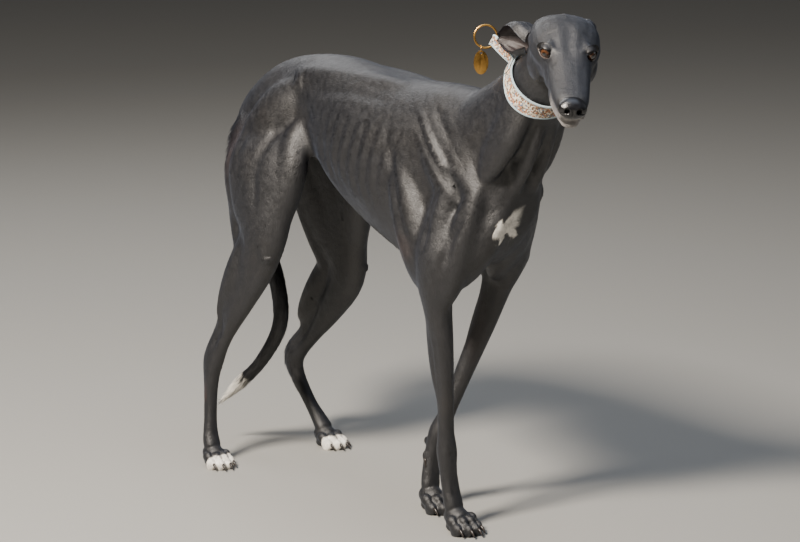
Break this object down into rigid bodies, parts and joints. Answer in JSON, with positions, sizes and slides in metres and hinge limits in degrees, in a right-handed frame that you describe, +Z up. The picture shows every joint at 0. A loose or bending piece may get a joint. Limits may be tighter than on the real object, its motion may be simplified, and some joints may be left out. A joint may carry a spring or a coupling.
{
  "type": "greyhound model",
  "caption": "Life-size still model of a black greyhound standing and looking round to its right, with a patterned webbing collar, brass ring and blank oval tag.",
  "frame": {"origin": "centre of the box round the whole model, on the floor under the paws", "axes": "+Z up, -Y towards the front end, +Y towards the tail, +X towards the left side"},
  "size_m": [0.3082, 1.1172, 0.8945],
  "materials": {
    "coat": "short glossy black coat over skin, white on the breast, hind toes and tail tip",
    "ear_skin": "thin black ear leather, pinkish dark inside",
    "eye": "amber brown, wet and glossy",
    "webbing": null,
    "brass": "polished, lightly worn"
  },
  "bodies": {
    "root": {"head": "coat", "neck": "coat", "torso": "coat", "tail_root": "coat", "tail_middle": "coat", "tail_tip": "coat", "foreleg_right": "coat", "foreleg_left": "coat", "pastern_fore_right": "coat", "pastern_fore_left": "coat", "paw_fore_right": "coat", "paw_fore_left": "coat", "thigh_right": "coat", "thigh_left": "coat", "shank_right": "coat", "shank_left": "coat", "hock_right": "coat", "hock_left": "coat", "paw_hind_right": "coat", "paw_hind_left": "coat", "ear_left": "ear_skin", "ear_right": "ear_skin", "eye_left": "eye", "eye_right": "eye", "collar_band": "webbing", "collar_loop": "webbing", "collar_ring": "brass", "tag_ring": "brass", "tag": "brass"}
  },
  "joints": []
}
